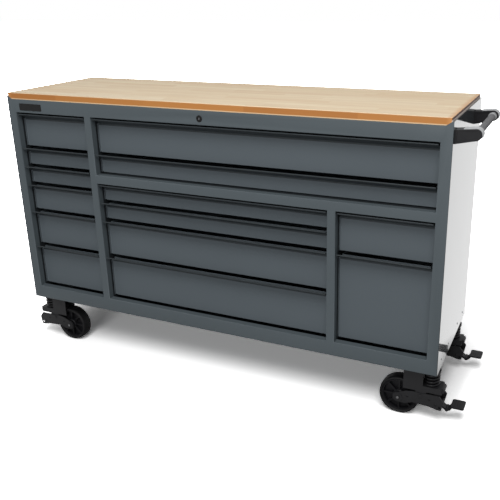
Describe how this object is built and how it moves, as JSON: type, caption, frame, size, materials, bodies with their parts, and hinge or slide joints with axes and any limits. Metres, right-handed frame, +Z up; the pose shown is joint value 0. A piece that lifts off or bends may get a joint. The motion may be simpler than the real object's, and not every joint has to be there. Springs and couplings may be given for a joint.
{
  "type": "rolling tool cabinet",
  "caption": "Wide steel tool chest of sliding drawers with a wooden worktop, a push handle on one side and sprung swivel casters with brake pedals.",
  "frame": {"origin": "on the floor, under the middle of the whole assembly", "axes": "+Z up, +X towards the side with the push handle, -Y towards the side that the drawers open to"},
  "size_m": [1.95, 0.5516, 1.133],
  "materials": {
    "cabinet_grey": "satin grey powder coat",
    "front_grey": "satin grey powder coat",
    "drawer_grey": "satin grey powder coat",
    "wood_top": "oiled block-glued beech",
    "wheel_black": "black rubber tread on a black core",
    "spring_black": "black coated spring steel",
    "caster_black": "black coated pressed steel",
    "zinc_steel": "black coated steel plate",
    "pedal_black": "moulded black",
    "handle_black": "moulded black",
    "grip_black": "ribbed sleeve on a steel tube",
    "slide_steel": "zinc-plated",
    "lock_black": "black"
  },
  "bodies": {
    "cabinet": {"front_frame": "cabinet_grey", "left_side_panel": "cabinet_grey", "right_side_panel": "cabinet_grey", "back_panel": "cabinet_grey", "bottom_pan": "cabinet_grey", "base_channels": "cabinet_grey", "top_tray": "cabinet_grey", "inner_frame": "cabinet_grey", "worktop": "wood_top", "slide_rails": "slide_steel", "handle_arms": "handle_black", "handle_grip": "grip_black", "caster_mount_plates": "zinc_steel"},
    "lock": {"lock_barrel": "lock_black"},
    "left_drawer_1": {"left_drawer_1_tray": "drawer_grey", "left_drawer_1_front": "front_grey"},
    "left_drawer_2": {"left_drawer_2_tray": "drawer_grey", "left_drawer_2_front": "front_grey"},
    "left_drawer_3": {"left_drawer_3_tray": "drawer_grey", "left_drawer_3_front": "front_grey"},
    "left_drawer_4": {"left_drawer_4_tray": "drawer_grey", "left_drawer_4_front": "front_grey"},
    "left_drawer_5": {"left_drawer_5_tray": "drawer_grey", "left_drawer_5_front": "front_grey"},
    "left_drawer_6": {"left_drawer_6_tray": "drawer_grey", "left_drawer_6_front": "front_grey"},
    "wide_drawer_1": {"wide_drawer_1_tray": "drawer_grey", "wide_drawer_1_front": "front_grey"},
    "wide_drawer_2": {"wide_drawer_2_tray": "drawer_grey", "wide_drawer_2_front": "front_grey"},
    "middle_drawer_1": {"middle_drawer_1_tray": "drawer_grey", "middle_drawer_1_front": "front_grey"},
    "middle_drawer_2": {"middle_drawer_2_tray": "drawer_grey", "middle_drawer_2_front": "front_grey"},
    "middle_drawer_3": {"middle_drawer_3_tray": "drawer_grey", "middle_drawer_3_front": "front_grey"},
    "middle_drawer_4": {"middle_drawer_4_tray": "drawer_grey", "middle_drawer_4_front": "front_grey"},
    "right_drawer_1": {"right_drawer_1_tray": "drawer_grey", "right_drawer_1_front": "front_grey"},
    "right_drawer_2": {"right_drawer_2_tray": "drawer_grey", "right_drawer_2_front": "front_grey"},
    "front_left_fork": {"front_left_yoke": "caster_black", "front_left_spring": "spring_black"},
    "front_left_arm": {"front_left_swing_arm": "caster_black"},
    "front_left_wheel": {"front_left_wheel": "wheel_black"},
    "rear_left_fork": {"rear_left_yoke": "caster_black", "rear_left_spring": "spring_black"},
    "rear_left_arm": {"rear_left_swing_arm": "caster_black"},
    "rear_left_wheel": {"rear_left_wheel": "wheel_black"},
    "front_right_fork": {"front_right_yoke": "caster_black", "front_right_spring": "spring_black"},
    "front_right_arm": {"front_right_swing_arm": "caster_black"},
    "front_right_wheel": {"front_right_wheel": "wheel_black"},
    "front_right_pedal": {"front_right_brake_pedal": "pedal_black"},
    "rear_right_fork": {"rear_right_yoke": "caster_black", "rear_right_spring": "spring_black"},
    "rear_right_arm": {"rear_right_swing_arm": "caster_black"},
    "rear_right_wheel": {"rear_right_wheel": "wheel_black"},
    "rear_right_pedal": {"rear_right_brake_pedal": "pedal_black"}
  },
  "joints": [
    {"name": "lock_turn", "type": "hinge", "parent": "cabinet", "child": "lock", "pos_m": [-0.036, -0.2742, 1.0765], "axis": [0, -1, 0], "range_deg": [0, 90]},
    {"name": "left_drawer_1_slide", "type": "slide", "parent": "cabinet", "child": "left_drawer_1", "axis": [0, -1, 0], "range_m": [0, 0.4]},
    {"name": "left_drawer_2_slide", "type": "slide", "parent": "cabinet", "child": "left_drawer_2", "axis": [0, -1, 0], "range_m": [0, 0.4]},
    {"name": "left_drawer_3_slide", "type": "slide", "parent": "cabinet", "child": "left_drawer_3", "axis": [0, -1, 0], "range_m": [0, 0.4]},
    {"name": "left_drawer_4_slide", "type": "slide", "parent": "cabinet", "child": "left_drawer_4", "axis": [0, -1, 0], "range_m": [0, 0.4]},
    {"name": "left_drawer_5_slide", "type": "slide", "parent": "cabinet", "child": "left_drawer_5", "axis": [0, -1, 0], "range_m": [0, 0.4]},
    {"name": "left_drawer_6_slide", "type": "slide", "parent": "cabinet", "child": "left_drawer_6", "axis": [0, -1, 0], "range_m": [0, 0.4]},
    {"name": "wide_drawer_1_slide", "type": "slide", "parent": "cabinet", "child": "wide_drawer_1", "axis": [0, -1, 0], "range_m": [0, 0.4]},
    {"name": "wide_drawer_2_slide", "type": "slide", "parent": "cabinet", "child": "wide_drawer_2", "axis": [0, -1, 0], "range_m": [0, 0.4]},
    {"name": "middle_drawer_1_slide", "type": "slide", "parent": "cabinet", "child": "middle_drawer_1", "axis": [0, -1, 0], "range_m": [0, 0.4]},
    {"name": "middle_drawer_2_slide", "type": "slide", "parent": "cabinet", "child": "middle_drawer_2", "axis": [0, -1, 0], "range_m": [0, 0.4]},
    {"name": "middle_drawer_3_slide", "type": "slide", "parent": "cabinet", "child": "middle_drawer_3", "axis": [0, -1, 0], "range_m": [0, 0.4]},
    {"name": "middle_drawer_4_slide", "type": "slide", "parent": "cabinet", "child": "middle_drawer_4", "axis": [0, -1, 0], "range_m": [0, 0.4]},
    {"name": "right_drawer_1_slide", "type": "slide", "parent": "cabinet", "child": "right_drawer_1", "axis": [0, -1, 0], "range_m": [0, 0.4]},
    {"name": "right_drawer_2_slide", "type": "slide", "parent": "cabinet", "child": "right_drawer_2", "axis": [0, -1, 0], "range_m": [0, 0.4]},
    {"name": "front_left_swivel", "type": "hinge", "parent": "cabinet", "child": "front_left_fork", "pos_m": [-0.861, -0.2042, 0.2035], "axis": [0, 0, 1], "continuous": true},
    {"name": "front_left_suspension", "type": "hinge", "parent": "front_left_fork", "child": "front_left_arm", "pos_m": [-0.889, -0.2042, 0.1], "axis": [0, -1, 0], "range_deg": [0, 4], "stiffness_Nm_per_rad": 300, "springref_deg": -11.46, "deforming": ["front_left_spring"]},
    {"name": "front_left_wheel_spin", "type": "hinge", "parent": "front_left_arm", "child": "front_left_wheel", "pos_m": [-0.806, -0.2042, 0.076], "axis": [0, 1, 0], "continuous": true},
    {"name": "rear_left_swivel", "type": "hinge", "parent": "cabinet", "child": "rear_left_fork", "pos_m": [-0.861, 0.1958, 0.2035], "axis": [0, 0, 1], "continuous": true},
    {"name": "rear_left_suspension", "type": "hinge", "parent": "rear_left_fork", "child": "rear_left_arm", "pos_m": [-0.889, 0.1958, 0.1], "axis": [0, -1, 0], "range_deg": [0, 4], "stiffness_Nm_per_rad": 300, "springref_deg": -11.46, "deforming": ["rear_left_spring"]},
    {"name": "rear_left_wheel_spin", "type": "hinge", "parent": "rear_left_arm", "child": "rear_left_wheel", "pos_m": [-0.806, 0.1958, 0.076], "axis": [0, 1, 0], "continuous": true},
    {"name": "front_right_swivel", "type": "hinge", "parent": "cabinet", "child": "front_right_fork", "pos_m": [0.789, -0.2042, 0.2035], "axis": [0, 0, 1], "continuous": true},
    {"name": "front_right_suspension", "type": "hinge", "parent": "front_right_fork", "child": "front_right_arm", "pos_m": [0.817, -0.2042, 0.1], "axis": [0, 1, 0], "range_deg": [0, 4], "stiffness_Nm_per_rad": 300, "springref_deg": -11.46, "deforming": ["front_right_spring"]},
    {"name": "front_right_wheel_spin", "type": "hinge", "parent": "front_right_arm", "child": "front_right_wheel", "pos_m": [0.734, -0.2042, 0.076], "axis": [0, 1, 0], "continuous": true},
    {"name": "front_right_brake", "type": "hinge", "parent": "front_right_arm", "child": "front_right_pedal", "pos_m": [0.889, -0.2042, 0.066], "axis": [0, -1, 0], "range_deg": [0, 25]},
    {"name": "rear_right_swivel", "type": "hinge", "parent": "cabinet", "child": "rear_right_fork", "pos_m": [0.789, 0.1958, 0.2035], "axis": [0, 0, 1], "continuous": true},
    {"name": "rear_right_suspension", "type": "hinge", "parent": "rear_right_fork", "child": "rear_right_arm", "pos_m": [0.817, 0.1958, 0.1], "axis": [0, 1, 0], "range_deg": [0, 4], "stiffness_Nm_per_rad": 300, "springref_deg": -11.46, "deforming": ["rear_right_spring"]},
    {"name": "rear_right_wheel_spin", "type": "hinge", "parent": "rear_right_arm", "child": "rear_right_wheel", "pos_m": [0.734, 0.1958, 0.076], "axis": [0, 1, 0], "continuous": true},
    {"name": "rear_right_brake", "type": "hinge", "parent": "rear_right_arm", "child": "rear_right_pedal", "pos_m": [0.889, 0.1958, 0.066], "axis": [0, -1, 0], "range_deg": [0, 25]}
  ]
}
